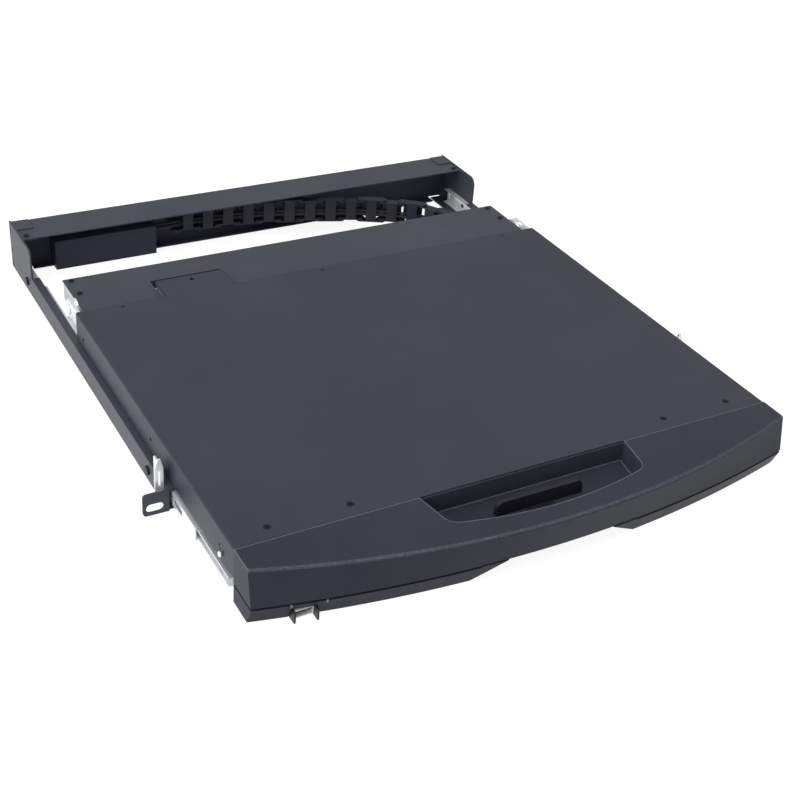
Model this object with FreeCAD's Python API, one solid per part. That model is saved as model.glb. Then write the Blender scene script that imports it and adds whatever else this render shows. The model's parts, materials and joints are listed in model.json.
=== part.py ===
import FreeCAD, Part
import math
import os

# Rackmount LCD console drawer. Millimetres: X to the right, Y to the rear, Z up.
# Y = 0 is the front face of the rack ears and Z = 0 is the underside of the unit.
# The drawer is drawn pulled out by rest_pull, with the lid closed.

Vector = FreeCAD.Vector
X_AXIS = Vector(1, 0, 0)
Y_AXIS = Vector(0, 1, 0)
Z_AXIS = Vector(0, 0, 1)

# ---- Driving sizes: rack and housing ----
rail_half = 223.5           # half the width over the rails
ear_reach = 17.8            # how far each ear stands out of its rail
slot_offset = 9.05          # centre of the ear's slot from the rail's outer face
slot_length = 13.0
slot_width = 7.0
slot_z = 5.95
unit_height = 43.3
sheet = 1.2                 # thin sheet steel
rail_sheet = 1.5            # sheet of the side rails
rail_height = 18.3
rail_lip = 6.9              # width of the rail's top flange
rail_foot = 13.7            # width of the rail's bottom flange
rail_end_margin = 4.6       # rail's rear end behind the rear wall's face
cheek_margin = 7.8          # the rear cheek starts this far behind the closed lid
cheek_rise = 0.9            # the rear cheek stands this far above the lid
cover_margin = 33.5         # the rear cover starts this far behind the closed lid
cover_overlap = 34.2        # how much of the cover lies in front of the rear wall
cover_rise = 0.2
tab_width = 16.5            # tab on top of the rear cheek
tab_front = 15.4            # its front edge ahead of the rear wall
tab_rear = 2.6
port_box_inset = 33.7       # from the rail's outer face
port_box_depth = 17.9
port_box_height = 27.6
clamp_sheet = 1.5
clamp_y = 6.0               # front face of the rack clamp's leaf

# ---- Driving sizes: drawer and lid ----
rest_pull = 104.7           # how far the drawer stands out of the rails
display_height = 272.0
display_front_margin = 34.7
display_rear_margin = 14.0
lid_inset = 5.0             # lid's side from the rail's outer face
tray_inset = 14.5           # tray's side from the rail's outer face
tray_overhang = 46.0        # the tray's cheeks run this far behind the lid
deck_front_gap = 1.2
deck_overhang = 62.0        # the rear deck ends this far behind the lid
deck_side = 1.5             # the rear deck stands out of the tray's sides
deck_drop = 3.5             # the rear deck lies this far below the lid's top
hinge_setback = 23.0        # hinge axis behind the lid
hinge_drop = 4.3            # hinge axis below the deck's underside
hinge_pin_r = 3.0
knuckle_r = 8.0
tongue_left = -143.0        # tongue at the lid's rear edge
tongue_right = -83.0
tongue_reach = 26.5
notch_margin = 1.5          # room beside the tongue in the deck's notch
notch_depth = 34.3
bezel_corner = 27.3         # bezel's bottom corner ahead of the lid
bezel_nose = 52.8           # bezel's bottom nose ahead of the lid
bezel_top_corner = 21.8
bezel_top_nose = 59.8
bezel_wall = 2.4
trim_height = 14.2
trim_rise = 1.2             # the trims' inner ends stand this much higher
trim_rise_end = 64.0
trim_inner_low = 68.0
trim_inner_high = 45.0
pocket_rear_half = 85.0
pocket_front_half = 79.5
pocket_corner_y = 31.8      # ahead of the lid
pocket_nose_y = 42.8
pocket_corner_r = 11.0
pocket_depth = 17.2
latch_half = 35.5
latch_setout = 17.3         # latch bar's rear face ahead of the lid
latch_thick = 3.6
latch_drop = 5.9            # latch bar's top below the lid's top
latch_travel = 4.0

# ---- Driving sizes: keyboard and display ----
key_gap = 0.9
key_travel = 2.5
key_slope = 2.3             # how far each side of a cap leans in
key_relief = 7.2            # height of a key cap
key_margin = 11.0           # from the tray's side to the first key
key_margin_right = 19.0
block_gap = 4.0             # between two blocks of keys
plate_drop = 4.3            # keyboard plate below the rails' top
touch_half = 34.0
touch_depth = 40.0
touch_button_depth = 12.7
button_travel = 1.0
display_width = 340.0
display_panel = 6.5         # thickness of the display panel
osd_r = 3.0
osd_pitch = 18.0

# ---- Driving sizes: slides and cable chain ----
slide_sheet = 1.0
slide_start = 12.0          # front end of the fixed slide member
slide_end_margin = 16.4     # its rear end ahead of the rear wall
lip_room = 0.6              # between the lips of two slide members
link_radius = 4.0
link_low = 14.8
link_plate = 1.3
link_pin_r = 1.6
chain_setback = 10.4        # the chain's first pivot ahead of the rear wall
chain_x = -72.5
chain_lead = 22.9           # the chain's first pivot from the port box
chain_standoff = 19.94      # the chain's last pivot behind the cable bay's wall
cable_drop_z = 8.0          # height of the cables where they meet the control board
cable_sockets = (-44.0, -26.0)

# ---- Clearances ----
seat_gap = 0.1              # between parts that are screwed together
fit_gap = 0.3               # between parts that are set beside each other
seam_gap = 0.5              # around the tabs in the rear cover
run_gap = 0.6               # between parts that slide
lid_gap = 1.0               # between the lid and what it closes on
trim_gap = 1.5              # between the bezel and the trims under it
pin_gap = 0.05              # radial, pin in hole
screw_gap = 0.2             # radial, screw in clearance hole

# ---- Sizes that follow from those above ----
panel_half = rail_half + ear_reach
slot_x = rail_half + slot_offset
rail_in = rail_half - rail_sheet
lid_half = rail_half - lid_inset
tray_half = rail_half - tray_inset
deck_half = tray_half + deck_side

lid_front = -rest_pull
display_low_y = lid_front + display_front_margin
display_high_y = display_low_y + display_height
lid_rear = display_high_y + display_rear_margin
closed_rear = lid_rear + rest_pull
bay_wall_y = lid_rear + 1.5
tray_rear = lid_rear + tray_overhang
hinge_y = lid_rear + hinge_setback
deck_front = lid_rear + deck_front_gap
deck_rear = lid_rear + deck_overhang
cheek_start = closed_rear + cheek_margin
cover_front = closed_rear + cover_margin
wall_y = cover_front + cover_overlap
cover_rear = wall_y + sheet + seat_gap + 1.5
rail_length = wall_y + rail_end_margin
slide_length = wall_y - slide_end_margin - slide_start
chain_y = wall_y - chain_setback

lid_depth = unit_height - rail_height - lid_gap
lid_low = unit_height - lid_depth
lid_top_low = unit_height - sheet
cheek_height = unit_height + cheek_rise
cover_top = unit_height + cover_rise
deck_top = unit_height - deck_drop
deck_low = deck_top - sheet
bay_wall_top = deck_low - seat_gap
hinge_z = deck_low - hinge_drop
bezel_bottom = trim_height + trim_gap
pocket_floor = unit_height - pocket_depth
slide_z = rail_height / 2
deck_plate_top = rail_height - plate_drop
plate_low = deck_plate_top - sheet
key_skirt = plate_low - 1.8
key_top = key_skirt + key_relief
key_pitch = (2 * tray_half - key_margin - key_margin_right - 2 * block_gap) / 20
display_low = lid_low + 0.5
link_high = deck_low - 0.8


# ---- Shape helpers ----
def box(x, y, z):
    return Part.makeBox(x[1] - x[0], y[1] - y[0], z[1] - z[0], Vector(x[0], y[0], z[0]))


def rod(radius, start, direction, length):
    return Part.makeCylinder(radius, length, Vector(*start), direction)


def bar(sides, radius, start, direction, length):
    """Bar whose outline is a regular polygon with corners on the radius."""
    turn = FreeCAD.Rotation(Z_AXIS, direction)
    corners = []
    for i in range(sides):
        angle = 2 * math.pi * (i + 0.5) / sides
        corner = Vector(radius * math.cos(angle), radius * math.sin(angle), 0)
        corners.append(Vector(*start) + turn.multVec(corner))
    return prism(corners, direction * length)


def prism(points, depth):
    corners = [Vector(*point) for point in points]
    return Part.Face(Part.makePolygon(corners + corners[:1])).extrude(Vector(*depth))


def join(shapes):
    return shapes[0].fuse(shapes[1:]).removeSplitter()


def less(shape, tools):
    return shape.cut(Part.makeCompound(tools))


def mirrored(shape):
    return shape.mirror(Vector(0, 0, 0), X_AXIS)


def both(shape):
    return Part.makeCompound([mirrored(shape), shape])


def group(shapes):
    return Part.makeCompound(shapes)


def around(x, half):
    return (x - half, x + half)


def edges_where(shape, test):
    return [edge for edge in shape.Edges if test(edge.BoundBox)]


def along(box_, axis):
    """True where an edge's box is long along one axis only."""
    sizes = {"X": box_.XLength, "Y": box_.YLength, "Z": box_.ZLength}
    return sizes[axis] > 1 and all(sizes[other] < 1e-3 for other in sizes if other != axis)


def slot(half, radius, centre, direction, depth):
    """A slot along X with round ends, cut along direction."""
    x, y, z = centre
    ends = [rod(radius, (x + side * half, y, z), direction, depth) for side in (-1, 1)]
    if direction.z:
        return join(ends + [box((x - half, x + half), (y - radius, y + radius), (z, z + depth))])
    return join(ends + [box((x - half, x + half), (y, y + depth), (z - radius, z + radius))])


# ---- Housing: rails, rear wall, cover and port box ----
side_screws = ((39.0, slide_z), (slide_start + slide_length - 29.3, slide_z))
side_screw_r = 1.9
side_screw_head_r = 3.5
wall_tab_levels = (5.0, 17.0, unit_height - 6.6)
wall_tab_half = 3.0
ledge_top = cover_top - sheet - seat_gap
cover_screw_x = rail_half - 6.5
cover_screws = ((-cover_screw_x, cover_front + 5.8), (cover_screw_x, cover_front + 5.8))
cover_screw_r = 1.3
cover_screw_head_r = 2.4


def rail():
    web = box((rail_in, rail_half), (0, rail_length), (0, rail_height))
    cheek = box((rail_in, rail_half), (cheek_start, rail_length), (0, cheek_height))
    corner = edges_where(cheek, lambda b: along(b, "X") and b.YMin < cheek_start + 1 and b.ZMin > rail_height)
    cheek = cheek.makeFillet(8.0, corner)
    lip = box((rail_half - rail_lip, rail_half), (rail_sheet, cheek_start), (rail_height - rail_sheet, rail_height))
    foot = box((rail_half - rail_foot, rail_half), (rail_sheet, rail_length - 6), (0, rail_sheet))
    tab = box((rail_half - tab_width, rail_half), (wall_y - tab_front, wall_y + tab_rear),
              (cheek_height - rail_sheet, cheek_height))
    ear = box((rail_in, panel_half), (0, rail_sheet), (0, rail_height))
    ear = ear.makeFillet(3.0, edges_where(ear, lambda b: along(b, "Y") and b.XMin > panel_half - 1))
    ledge = box((rail_half - 14, rail_half), (cover_front + 1.5, cover_front + 12), (ledge_top - rail_sheet, ledge_top))
    body = join([web, cheek, lip, foot, tab, ledge, ear])
    radius = slot_width / 2
    cuts = [slot(slot_length / 2 - radius, radius, (slot_x, -1, slot_z), Y_AXIS, 4)]
    for y, z in side_screws:
        cuts.append(bar(16, side_screw_r + screw_gap, (rail_in - 1, y, z), X_AXIS, 4))
    x, y = cover_screws[1]
    cuts.append(bar(12, cover_screw_r + screw_gap, (x, y, ledge_top - 4), Z_AXIS, 6))
    for z in wall_tab_levels:
        cuts.append(box((rail_in - 1, rail_half + 1), (wall_y - fit_gap, wall_y + sheet + fit_gap),
                        around(z, wall_tab_half + fit_gap)))
    return less(body, cuts)


def rack_clamp():
    """Zinc clamp that grips the rack post behind the ear."""
    inner = rail_half
    outer = inner + 6.5
    low = rail_height - 4.5
    shoulder = unit_height - 10.0
    high = unit_height - 2.5
    leaf_points = [
        (inner, clamp_y, low),
        (outer, clamp_y, low),
        (outer, clamp_y, shoulder),
        (inner + 4.0, clamp_y, high),
        (inner + 2.0, clamp_y, high),
        (inner, clamp_y, shoulder),
    ]
    leaf = prism(leaf_points, (0, clamp_sheet, 0))
    flange = box((inner + seat_gap, inner + seat_gap + clamp_sheet), (clamp_y, clamp_y + 16.0), (3.0, shoulder))
    opening = box((inner + 2.6, inner + 4.0), (clamp_y - 1, clamp_y + 3), (low + 5.0, shoulder - 2.0))
    notches = [box((inner + x, inner + x + 1.0), (clamp_y - 1, clamp_y + 3), (low - 1, low + 1.2)) for x in (1.9, 4.1)]
    tail = box((inner - 1, inner + seat_gap), (0, clamp_y + 24), (0, unit_height))
    return less(join([leaf, flange]), [opening, tail] + notches)


port_box_left = port_box_inset - rail_half
port_box_right = chain_x - chain_lead
port_box_width = port_box_right - port_box_left
port_box_front = wall_y - port_box_depth
vga_x = port_box_left + 0.284 * port_box_width
usb_port_x = port_box_left + 0.602 * port_box_width
power_x = port_box_left + 0.814 * port_box_width
port_z = 12.5
port_front = wall_y - 12.2
port_rear = wall_y - seat_gap


def rear_wall():
    rear = wall_y + sheet
    half = rail_in - fit_gap
    wall = box((-half, half), (wall_y, rear), (0, ledge_top))
    foot = box((-half + rail_foot, half - rail_foot), (wall_y - 9.1, rear), (0, sheet))
    shelf = box((-half, half), (wall_y - 10.4, rear), (ledge_top - sheet, ledge_top))
    returns = both(box((half - sheet, half), (wall_y - 12.4, rear), (rail_sheet + run_gap, ledge_top)))
    tabs = []
    for z in wall_tab_levels:
        tabs.append(both(box((half - 1, rail_half - fit_gap), (wall_y, rear), around(z, wall_tab_half))))
    body = join([wall, foot, shelf, returns] + tabs)
    cuts = [both(box((half - rail_foot, rail_half), (rail_sheet, wall_y + 9), (-1, rail_sheet + fit_gap)))]
    for x, half_width, half_height in ((vga_x, 17.0, 6.5), (usb_port_x, 6.5, 6.3), (power_x, 6.0, 6.0)):
        cuts.append(box(around(x, half_width), (wall_y - 1, rear + 1), around(port_z, half_height)))
    return less(body, cuts)


def rear_cover():
    low = cover_top - sheet
    half = rail_in - fit_gap
    top = box((-half, half), (cover_front, cover_rear), (low, cover_top))
    lip = box((-half + 17.7, half - 17.7), (cover_rear - sheet, cover_rear), (cover_top - 8.5, cover_top))
    notch = both(box((rail_half - tab_width - seam_gap, rail_half),
                     (wall_y - tab_front - seam_gap, cover_rear + 1), (low - 1, cover_top + 1)))
    cuts = [notch] + [bar(12, cover_screw_r + screw_gap, (x, y, low - 1), Z_AXIS, 4) for x, y in cover_screws]
    return less(join([top, lip]), cuts)


def port_box():
    right = port_box_right
    outer = box((port_box_left, right), (port_box_front, port_rear), (0, port_box_height))
    inner = box((port_box_left + sheet, right - sheet), (port_box_front + sheet, port_rear + 1),
                (-1, port_box_height - sheet))
    foot_room = box((port_box_left - 1, right + 1), (wall_y - 9.4, port_rear + 1), (-1, sheet + fit_gap))
    cable_hole = box((right - 3, right + 1), around(chain_y, 3.5), (link_low + 4.0, link_low + 11.6))
    return less(outer, [inner, foot_room, cable_hole])


def port_board():
    return box((port_box_left + 3, port_box_right - 3.5), (port_front - 1.7, port_front - seat_gap), (3.0, 15.5))


def vga_port():
    x = vga_x
    front = port_rear
    flange = box(around(x, 15.5), (front - 1, front), around(port_z, 6.2))
    body = box(around(x, 12), (port_front, front - 1), around(port_z, 5.0))
    shell_points = [(x - 8.6, port_z + 4), (x + 8.6, port_z + 4), (x + 7.2, port_z - 4), (x - 7.2, port_z - 4)]
    shell = prism([(px, front - 1, pz) for px, pz in shell_points], (0, 6.5, 0))
    holes = []
    for row in (2.0, 0.0, -2.0):
        shift = 0.0 if row else 0.6
        for i in range(-2, 3):
            holes.append(box(around(x + i * 2.3 + shift, 0.35), (front + 2, front + 7), around(port_z + row, 0.35)))
    posts = [bar(8, 2.2, (x + side * 12.5, front - 1, port_z), Y_AXIS, 5.0) for side in (-1, 1)]
    return less(join([flange, body, shell] + posts), holes)


def usb_b_port():
    x = usb_port_x
    front = port_rear
    body = box(around(x, 6.0), (port_front, front), around(port_z, 5.6))
    mouth = box(around(x, 4.4), (front - 9, front + 1), around(port_z, 4.0))
    tongue = box(around(x, 2.0), (front - 9.5, front - 2), around(port_z, 1.2))
    return join([less(body, [mouth]), tongue])


def power_port():
    x = power_x
    front = port_rear
    body = box(around(x, 5.2), (port_front, front), around(port_z, 5.5))
    bore = rod(3.2, (x, front - 9, port_z), Y_AXIS, 10)
    pin = bar(12, 1.0, (x, front - 10, port_z), Y_AXIS, 9)
    return join([less(body, [bore]), pin])


# ---- Telescopic slides: three members a side ----
outer_web = (rail_in - seat_gap - 1.2, rail_in - seat_gap)
outer_lip = rail_half - 7.1
outer_half = rail_height / 2 - rail_sheet - 0.5
middle_web = (outer_web[0] - 1.9, outer_web[0] - 0.9)
middle_lip = rail_half - 9.9
middle_half = outer_half - slide_sheet - lip_room
inner_web = (tray_half + seat_gap, tray_half + seat_gap + 1.1)
inner_lip = rail_half - 5.2
inner_half = middle_half - slide_sheet - lip_room
middle_start = slide_start - rest_pull / 2 - 1.65
inner_start = slide_start - rest_pull - 3.3


def channel(web, lip_end, half, start):
    low = slide_z - half
    high = slide_z + half
    span = (start, start + slide_length)
    body = box(web, span, (low, high))
    reach = (min(web[0], lip_end), max(web[1], lip_end))
    lips = [box(reach, span, (low, low + slide_sheet)), box(reach, span, (high - slide_sheet, high))]
    return join([body] + lips)


def slide_outer():
    body = channel(outer_web, outer_lip, outer_half, slide_start)
    holes = [bar(16, side_screw_r + screw_gap, (outer_web[0] - 1, y, z), X_AXIS, 4) for y, z in side_screws]
    rear = slide_start + slide_length
    stop = box((outer_web[0] - 0.8, outer_web[1]), (rear - 4.0, rear - 2.8), around(slide_z, 3.0))
    return less(join([body, stop]), holes)


def slide_middle():
    body = channel(middle_web, middle_lip, middle_half, middle_start)
    windows = []
    for i in range(8):
        y = middle_start + 24 + i * (slide_length - 8) / 8
        windows.append(box((middle_web[0] - 1, middle_web[1] + 1), (y, y + 16), around(slide_z, 2.2)))
    return less(body, windows)


def slide_inner():
    body = channel(inner_web, inner_lip, inner_half, inner_start)
    catches = []
    for y in (inner_start + 20, inner_start + slide_length / 2 - 10, inner_start + slide_length - 40):
        catches.append(box((inner_web[0] - 1, inner_web[1] + 1), (y, y + 14), around(slide_z, 1.6)))
    return less(body, catches)


# ---- Drawer: tray, deck, hinges ----
tray_front = lid_front + fit_gap
button_front = lid_front + 5.7
touch_front = button_front + touch_button_depth + fit_gap
touch_rear = touch_front + touch_depth
keys_left = key_margin - tray_half
keys_front = touch_rear + 10.0
keys_rear = keys_front + 6 * key_pitch
board_front = keys_rear + 24.0
board_rear = bay_wall_y - 24.5
board_posts = tuple((x, y) for x in (-110.0, 110.0) for y in (board_front + 6.0, board_rear - 5.0))
deck_screw_r = 1.4
deck_screw_head_r = 2.4
hinge_screw_x = tray_half - 4.7
hinge_screw_ys = (hinge_y + 12.0, deck_rear - 4.2)
hinge_screws = tuple((x, y) for x in (-hinge_screw_x, hinge_screw_x) for y in hinge_screw_ys)
notch_rear = lid_rear + notch_depth
bracket_in = tray_half + seat_gap
bracket_out = bracket_in + sheet
arm_in = rail_half - 9.3
arm_out = lid_half - sheet - fit_gap


def keyboard_tray():
    span = (tray_front, tray_rear)
    floor = box((-tray_half, tray_half), span, (0, sheet))
    sides = both(box((tray_half - sheet, tray_half), span, (0, rail_height)))
    front = box((-tray_half, tray_half), (tray_front, tray_front + sheet), (0, trim_height))
    bay_wall = box((-tray_half, tray_half), (bay_wall_y, bay_wall_y + sheet), (0, bay_wall_top))
    cheeks = both(box((tray_half - sheet, tray_half), (bay_wall_y, tray_rear), (0, bay_wall_top)))
    ledge = box((-tray_half, tray_half), (bay_wall_y, bay_wall_y + 9), (bay_wall_top - sheet, bay_wall_top))
    shelf_low = plate_low - seat_gap - sheet
    shelves = both(box((tray_half - 8, tray_half), (tray_front, bay_wall_y), (shelf_low, shelf_low + sheet)))
    posts = [bar(8, 2.8, (x, y, 0), Z_AXIS, 4.0) for x, y in board_posts]
    body = join([floor, sides, front, bay_wall, cheeks, ledge, shelves] + posts)
    inside = (bay_wall_y + sheet, bay_wall_y + 12)
    below_deck = (bay_wall_top - 3, bay_wall_top + 1)
    hole_span = (cable_sockets[0] - 6, cable_sockets[1] + 6)
    cuts = [
        box(hole_span, (bay_wall_y - 1, bay_wall_y + sheet + 1), (cable_drop_z - 5, cable_drop_z + 5)),
        box(around(chain_end()[0], 8), inside, below_deck),
        box((tongue_left - 3, tongue_right + 3), inside, below_deck),
        both(box((tray_half - 9, tray_half + 1), (hinge_y + 4.7, tray_rear + 1),
                 (bay_wall_top - sheet - fit_gap, bay_wall_top + 1))),
        both(rod(hinge_pin_r + pin_gap, (tray_half - 3, hinge_y, hinge_z), X_AXIS, 5)),
    ]
    cuts += [bar(12, trim_screw_r + screw_gap, (x, tray_front - 1, z), Y_AXIS, 4) for x, z in trim_screws()]
    return less(body, cuts)


def rear_deck():
    """Plate over the cable bay, with a turned-down edge behind its notch."""
    plate = box((-deck_half, deck_half), (deck_front, deck_rear), (deck_low, deck_top))
    left = tongue_left - notch_margin
    right = tongue_right + notch_margin
    edge = box((left + 0.5, right - 0.5), (notch_rear, notch_rear + sheet), (deck_low - 6.5, deck_low + 0.1))
    notch = box((left, right), (deck_front - 1, notch_rear), (deck_low - 1, deck_top + 1))
    holes = [bar(12, deck_screw_r + screw_gap, (x, y, deck_low - 1), Z_AXIS, 4) for x, y in hinge_screws]
    return less(join([plate, edge]), [notch] + holes)


def hinge_bracket():
    top = deck_low - seat_gap
    lug_in = tray_half - 8.5
    foot_low = hinge_z - 20.3
    outline = [
        (hinge_y - 21.0, foot_low),
        (tray_rear, foot_low),
        (tray_rear + 14.0, foot_low + 11.0),
        (tray_rear + 14.0, top),
        (hinge_y - 21.0, top),
    ]
    plate = prism([(bracket_in, y, z) for y, z in outline], (sheet, 0, 0))
    knuckle = rod(knuckle_r, (bracket_in, hinge_y, hinge_z), X_AXIS, arm_in - fit_gap - bracket_in)
    lug = box((lug_in, bracket_out), (hinge_y + 5.0, tray_rear + 14.0), (top - sheet, top))
    deck_room = box((lug_in - 1, deck_half + fit_gap), (bay_wall_y, deck_rear + 20), (top, unit_height + 20))
    bore = rod(hinge_pin_r + pin_gap, (bracket_in - 1, hinge_y, hinge_z), X_AXIS, 20)
    tray_room = box((lug_in - 1, bracket_in), (bay_wall_y - 1, tray_rear + fit_gap), (0, top - sheet - seat_gap))
    cuts = [deck_room, bore, tray_room]
    cuts += [bar(12, deck_screw_r + screw_gap, (hinge_screw_x, y, top - 4), Z_AXIS, 6) for y in hinge_screw_ys]
    return less(join([plate, knuckle, lug]), cuts)


def hinge_arm():
    low = hinge_z - 7.3
    high = lid_top_low - seat_gap
    front = lid_rear - 30.0
    strap = box((arm_in, arm_out), (front, hinge_y), (low, high))
    nose = rod(knuckle_r + 0.3, (arm_in, hinge_y, hinge_z), X_AXIS, arm_out - arm_in)
    foot = box((arm_in - 9, arm_out), (front, lid_rear - 8.0), (high - sheet, high))
    bore = rod(hinge_pin_r + pin_gap, (arm_in - 1, hinge_y, hinge_z), X_AXIS, 10)
    above = box((arm_in - 20, arm_out + 1), (front - 1, hinge_y + 20), (high, unit_height + 20))
    return less(join([strap, nose, foot]), [bore, above])


def hinge_pin():
    start = tray_half - 3
    pin = rod(hinge_pin_r, (start, hinge_y, hinge_z), X_AXIS, arm_out + fit_gap - start)
    heads = [bar(16, 4.0, (x, hinge_y, hinge_z), X_AXIS, 0.9) for x in (start - 0.9, arm_out + fit_gap)]
    return join([pin] + heads)


# ---- Lid: shell, front bezel with finger pocket, latch ----
tongue_rear = lid_rear + tongue_reach
lid_screw_xs = (lid_half - 88.0, lid_half - 28.0)
lid_front_screws = tuple((side * x, lid_front + 12.2) for side in (-1, 1) for x in lid_screw_xs)
lid_screw_r = 1.3
lid_screw_head_r = 2.4
lid_screw_head = 0.9
lid_pin_r = 1.4
lid_rear_pins = ((37.5 - lid_half, lid_rear - 4.0), (-3.0, lid_rear - 5.0), (lid_half - 37.5, lid_rear - 4.0))
flange_top = lid_top_low - seat_gap


def lid_shell():
    block = box((-lid_half, lid_half), (lid_front, lid_rear), (lid_low, unit_height))
    block = block.makeFillet(1.6, edges_where(block, lambda b: along(b, "Y") and b.ZMin > lid_low + 1))
    inner = lid_half - sheet
    rear = (lid_rear - 2, lid_rear + 1)
    room = box((-inner, inner), (lid_front - 1, lid_rear - sheet), (lid_low - 1, lid_top_low))
    skirt_ends = both(box((arm_in - 2.2, inner), rear, (lid_low - 1, lid_top_low)))
    skirt_foot = box((-inner, inner), rear, (lid_low - 1, lid_low + 2.7))
    shell = less(block, [room, skirt_ends, skirt_foot])
    tongue = box((tongue_left, tongue_right), (lid_rear - 1, tongue_rear), (lid_top_low, unit_height))
    tongue = tongue.makeFillet(2.0, edges_where(tongue, lambda b: along(b, "Z") and b.YMin > lid_rear))
    edge = box((tongue_left, tongue_left + sheet), (lid_rear + 3.5, tongue_rear - 3.0),
               (lid_top_low - 7.5, lid_top_low + 0.1))
    holes = [rod(2.0, (tongue_left + 30.3, tongue_rear - 7.0, lid_top_low - 1), Z_AXIS, 4)]
    sink_low = unit_height - lid_screw_head
    for x, y in lid_front_screws:
        holes.append(bar(12, lid_screw_r + screw_gap, (x, y, lid_top_low - 1), Z_AXIS, 4))
        holes.append(Part.makeCone(lid_screw_r + screw_gap, lid_screw_head_r + screw_gap, lid_screw_head,
                                   Vector(x, y, sink_low)))
    holes += [bar(8, lid_pin_r + screw_gap, (x, y, lid_top_low - 1), Z_AXIS, 4) for x, y in lid_rear_pins]
    for y, z in ((lid_front + 150.2, unit_height - 13.0), (lid_rear - 17.2, unit_height - 15.3)):
        holes.append(both(bar(12, 1.6, (inner - 1, y, z), X_AXIS, 4)))
    return less(join([shell, tongue, edge]), holes)


def bow(half, corner_y, nose_y, z, rear_y):
    """Closed outline with a straight rear and sides and a bowed front."""
    a = Vector(-half, rear_y, z)
    b = Vector(-half, corner_y, z)
    c = Vector(half, corner_y, z)
    d = Vector(half, rear_y, z)
    front = Part.Arc(b, Vector(0, nose_y, z), c).toShape()
    return Part.Wire([Part.makeLine(a, b), front, Part.makeLine(c, d), Part.makeLine(d, a)])


def bezel_form(low, high, inset):
    """Bowed block between two heights; its front leans as the bezel's does."""
    rise = unit_height - bezel_bottom
    wires = []
    for z in (low, high):
        share = (z - bezel_bottom) / rise
        corner = lid_front - (bezel_corner + (bezel_top_corner - bezel_corner) * share) + inset
        nose = lid_front - (bezel_nose + (bezel_top_nose - bezel_nose) * share) + inset
        rear = lid_front + (1.0 if inset else 0.0)
        wires.append(bow(lid_half - inset, corner, nose, z, rear))
    return Part.makeLoft(wires, True, True)


def pocket_form(grow, low, high):
    """Finger pocket with a bowed front and round front corners."""
    corner_y = lid_front - pocket_corner_y - grow
    back = Vector(-pocket_rear_half - grow, lid_front, low)
    corner = Vector(-pocket_front_half - grow, corner_y, low)
    far_corner = Vector(pocket_front_half + grow, corner_y, low)
    far_back = Vector(pocket_rear_half + grow, lid_front, low)
    nose = Vector(0, lid_front - pocket_nose_y - grow, low)
    front = Part.Arc(corner, nose, far_corner).toShape()
    edges = [Part.makeLine(back, corner), front, Part.makeLine(far_corner, far_back), Part.makeLine(far_back, back)]
    solid = Part.Face(Part.Wire(edges)).extrude(Vector(0, 0, high - low))
    corners = edges_where(solid, lambda b: along(b, "Z") and abs(b.YMin - corner_y) < 0.1)
    return solid.makeFillet(pocket_corner_r + grow, corners)


latch_rear = lid_front - latch_setout
latch_front = latch_rear - latch_thick


def front_bezel():
    block = bezel_form(bezel_bottom, unit_height, 0)
    crest = edges_where(block, lambda b: b.ZMin > unit_height - 1e-3 and b.YMax < lid_front - 5 and b.XLength > 100)
    block = block.makeFillet(2.0, crest)
    hollow = bezel_form(bezel_bottom - 1, unit_height - bezel_wall, bezel_wall)
    inner = lid_half - bezel_wall
    floor = box((-inner, inner), (lid_front - 95, lid_front + 1), (bezel_bottom - 2, bezel_bottom + 1.6))
    shell = less(block, [less(hollow, [floor])])
    skirt = pocket_form(2.0, pocket_floor - 2.0, unit_height - 1)
    back_half = pocket_rear_half + 2.0
    pocket_back = box((-back_half, back_half), (lid_front, lid_front + 2.0), (pocket_floor - 2, flange_top))
    flange_half = lid_half - sheet - fit_gap
    flange = box((-flange_half, flange_half), (lid_front - 2, lid_front + 20), (flange_top - 2.0, flange_top))
    body = join([shell, skirt, pocket_back, flange])
    pocket = pocket_form(0, pocket_floor, unit_height + 1)
    stem_slot = box((-9, 9), (latch_front - latch_travel - run_gap, latch_rear + run_gap),
                    (pocket_floor - 3, pocket_floor + 1))
    cuts = [pocket, stem_slot]
    for x, y in lid_front_screws:
        cuts.append(bar(8, lid_screw_r + screw_gap, (x, y, flange_top - 3), Z_AXIS, 5))
    return less(body, cuts)


def latch_bar():
    low = pocket_floor + 0.4
    across = (latch_front, latch_rear)
    bar_body = box((-latch_half, latch_half), across, (low, unit_height - latch_drop))
    bar_body = bar_body.makeFillet(5.0, edges_where(bar_body, lambda b: along(b, "Y") and b.ZMin > low + 1))
    stem = box((-8.4, 8.4), across, (pocket_floor - 3.2, low))
    foot = box((-12, 12), (latch_front - 1, latch_rear + 1), (pocket_floor - 4.0, pocket_floor - 2.4))
    shield = box((-11, 11), (latch_front - latch_travel - 2, latch_rear), (pocket_floor + seat_gap, low + 0.1))
    return join([bar_body, stem, foot, shield])


# ---- Drawer trims with the USB socket and status lights ----
usb_x = 34.5 - lid_half
usb_z = 5.4
usb_half_width = 6.6
usb_half_height = 2.9
usb_cut = around(usb_x, 8.5)
usb_front = lid_front - 32.8
usb_rear = lid_front - 14.3
light_xs = (usb_x - 9.0, usb_x + 14.0)
light_half = 0.8
trim_screw_r = 1.4


def trim_screws():
    return [(side * x, 7.0) for side in (-1, 1) for x in (90.0, 150.0)]


def trim_form(low, high, inset, outward):
    wires = []
    for z in (low, high):
        share = z / trim_height
        corner = lid_front - (bezel_corner - 6.0 * (1 - share)) + inset
        nose = lid_front - (bezel_nose - 5.5 * (1 - share)) + inset
        wires.append(bow(lid_half - inset, corner, nose, z, lid_front + outward))
    return Part.makeLoft(wires, True, True)


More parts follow.
